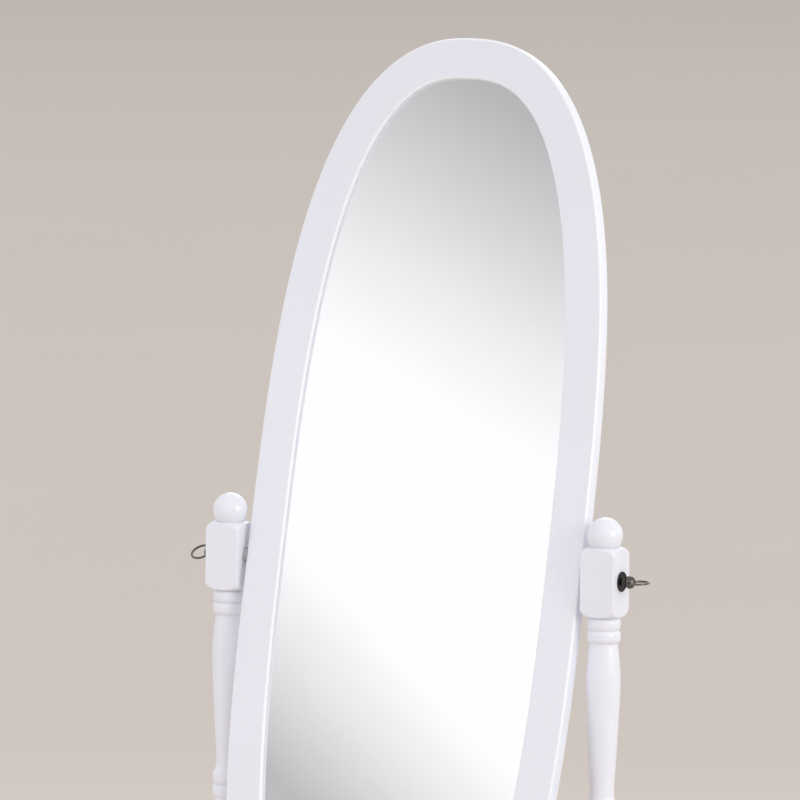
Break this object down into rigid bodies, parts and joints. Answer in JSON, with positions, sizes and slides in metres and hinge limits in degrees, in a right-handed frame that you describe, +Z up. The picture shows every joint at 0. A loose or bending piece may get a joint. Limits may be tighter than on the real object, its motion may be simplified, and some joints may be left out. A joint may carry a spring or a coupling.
{
  "type": "cheval floor mirror",
  "caption": "Free-standing floor mirror: a tall oval mirror in a white frame that tilts between two turned posts on splayed feet, clamped by ring-head thumb screws.",
  "frame": {"origin": "on the floor, midway between the four feet", "axes": "+Z up, -Y the side the mirror faces, +X to the right of someone who looks at the mirror"},
  "size_m": [0.5591, 0.489, 1.4938],
  "materials": {
    "white_lacquer": "semi-gloss white lacquer",
    "dowel_wood": "bare beech",
    "zinc_steel": "zinc plated",
    "insert_brass": "turned",
    "white_plastic": "satin",
    "glide_nylon": "matte",
    "spacer_nylon": "matte",
    "mirror_silver": "silvered float glass",
    "backing_foam": "thin foam sheet",
    "hardboard": "bare hardboard",
    "black_washer": "black, slightly worn",
    "antique_bronze": "dark antique plating"
  },
  "bodies": {
    "stand": {"left_post": "white_lacquer", "right_post": "white_lacquer", "lower_stretcher": "white_lacquer", "left_front_leg": "white_lacquer", "left_rear_leg": "white_lacquer", "right_front_leg": "white_lacquer", "right_rear_leg": "white_lacquer", "leg_dowels": "dowel_wood", "leg_bolts": "zinc_steel", "leg_bolt_inserts": "insert_brass", "stretcher_bolts": "zinc_steel", "stretcher_inserts": "insert_brass", "bolt_cover_caps": "white_plastic", "foot_glides": "glide_nylon"},
    "mirror": {"oval_frame": "white_lacquer", "mirror_glass": "mirror_silver", "backing_sheet": "backing_foam", "back_panel": "hardboard", "back_panel_screws": "zinc_steel", "left_frame_insert": "insert_brass", "right_frame_insert": "insert_brass", "left_spacer": "spacer_nylon", "right_spacer": "spacer_nylon"},
    "left_washer": {"left_washer": "black_washer"},
    "left_thumb_screw": {"left_thumb_screw": "antique_bronze"},
    "right_washer": {"right_washer": "black_washer"},
    "right_thumb_screw": {"right_thumb_screw": "antique_bronze"}
  },
  "joints": [
    {"name": "mirror_tilt", "type": "hinge", "parent": "stand", "child": "mirror", "pos_m": [0, 0, 0.923], "axis": [1, 0, 0], "continuous": true},
    {"name": "left_screw_turn", "type": "hinge", "parent": "mirror", "child": "left_washer", "pos_m": [-0.2495, 0, 0.923], "axis": [-1, 0, 0], "range_deg": [0, 2160]},
    {"name": "left_screw_advance", "type": "slide", "parent": "left_washer", "child": "left_thumb_screw", "axis": [-1, 0, 0], "range_m": [0, 0.006]},
    {"name": "right_screw_turn", "type": "hinge", "parent": "mirror", "child": "right_washer", "pos_m": [0.2495, 0, 0.923], "axis": [1, 0, 0], "range_deg": [-1656, 504]},
    {"name": "right_screw_advance", "type": "slide", "parent": "right_washer", "child": "right_thumb_screw", "axis": [1, 0, 0], "range_m": [-0.0046, 0.0014]}
  ],
  "couplings": [
    {"joint": "left_screw_turn", "follows": "left_screw_advance", "rad_per_m": 6283.2},
    {"joint": "right_screw_turn", "follows": "right_screw_advance", "rad_per_m": 6283.2}
  ]
}
